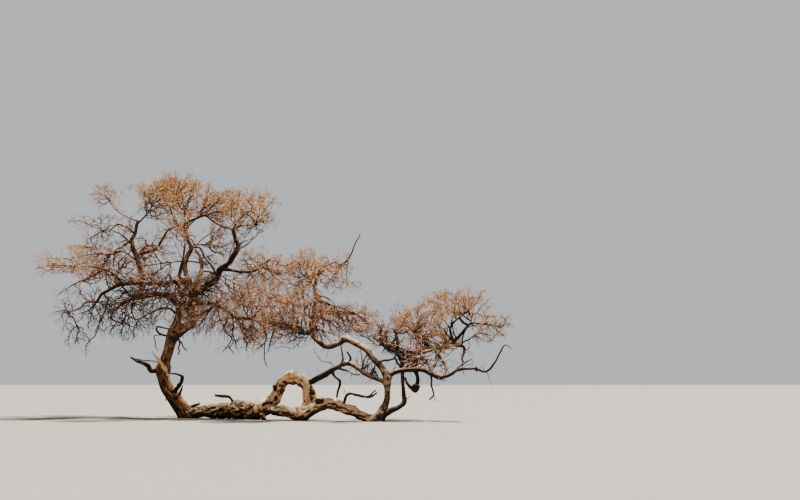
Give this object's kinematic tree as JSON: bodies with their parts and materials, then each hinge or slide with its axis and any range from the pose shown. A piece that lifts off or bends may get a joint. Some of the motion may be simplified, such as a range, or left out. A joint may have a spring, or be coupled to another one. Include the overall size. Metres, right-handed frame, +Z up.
{
  "type": "acacia tree",
  "caption": "Sprawling dry acacia tree with a leaning trunk, a log-like stem that lies along the ground and rises in an arch, thin crooked boughs and sparse open crowns.",
  "frame": {"origin": "middle of the flat cut under the trunk, at ground level", "axes": "+Z up, +X along the tree's spread from the trunk towards the second stem as the picture shows it from the front, -Y towards the viewer"},
  "size_m": [13.987, 6.7092, 7.5062],
  "materials": {
    "bark_dark": "rough dark furrowed bark",
    "bark_grey": "weathered grey-tan bark",
    "bark_pale": "peeled and bleached wood with dark patches",
    "foliage_golden": "matt dry golden leaf sprays on thin twigs",
    "foliage_rusty": "matt rusty twigs with few leaf sprays",
    "foliage_dark": "matt dark twigs, nearly bare"
  },
  "bodies": {
    "root": {"trunk": "bark_dark", "dead_fork": "bark_pale", "fork_left": "bark_dark", "low_bough": "bark_dark", "fork_right": "bark_dark", "left_bough": "bark_dark", "left_upright": "bark_dark", "centre_upright": "bark_dark", "right_upright": "bark_dark", "right_arm": "bark_dark", "right_lower": "bark_dark", "front_bough": "bark_dark", "back_bough": "bark_dark", "ground_log": "bark_pale", "arch_left": "bark_pale", "log_curl": "bark_pale", "arch_front_leg": "bark_pale", "arch_back_leg": "bark_pale", "log_middle": "bark_pale", "log_hump": "bark_pale", "right_trunk": "bark_grey", "right_stem": "bark_grey", "pale_bough": "bark_grey", "pale_bough_end": "bark_grey", "mid_upright": "bark_dark", "bridge_left": "bark_grey", "bridge_right": "bark_grey", "right_bough": "bark_grey", "right_bough_end": "bark_grey", "upper_right_bough": "bark_grey", "hook": "bark_grey", "tuft_left": "foliage_golden", "top_left": "foliage_golden", "top": "foliage_golden", "top_right": "foliage_golden", "right_shoulder": "foliage_golden", "left_upper": "foliage_rusty", "far_left": "foliage_golden", "near_left": "foliage_rusty", "left_droop": "foliage_dark", "low_droop": "foliage_dark", "inner_left": "foliage_rusty", "inner_right": "foliage_rusty", "heart_tangle": "foliage_dark", "right_droop": "foliage_dark", "front_low": "foliage_dark", "front_high": "foliage_golden", "back_high": "foliage_golden", "back_left": "foliage_rusty", "back_right": "foliage_rusty", "mid_left_top": "foliage_golden", "mid_left": "foliage_rusty", "mid_top": "foliage_golden", "mid_right_top": "foliage_golden", "mid_low": "foliage_rusty", "mid_right": "foliage_rusty", "right_left": "foliage_rusty", "right_mid": "foliage_golden", "right_top": "foliage_golden", "right_end": "foliage_golden"}
  },
  "joints": []
}
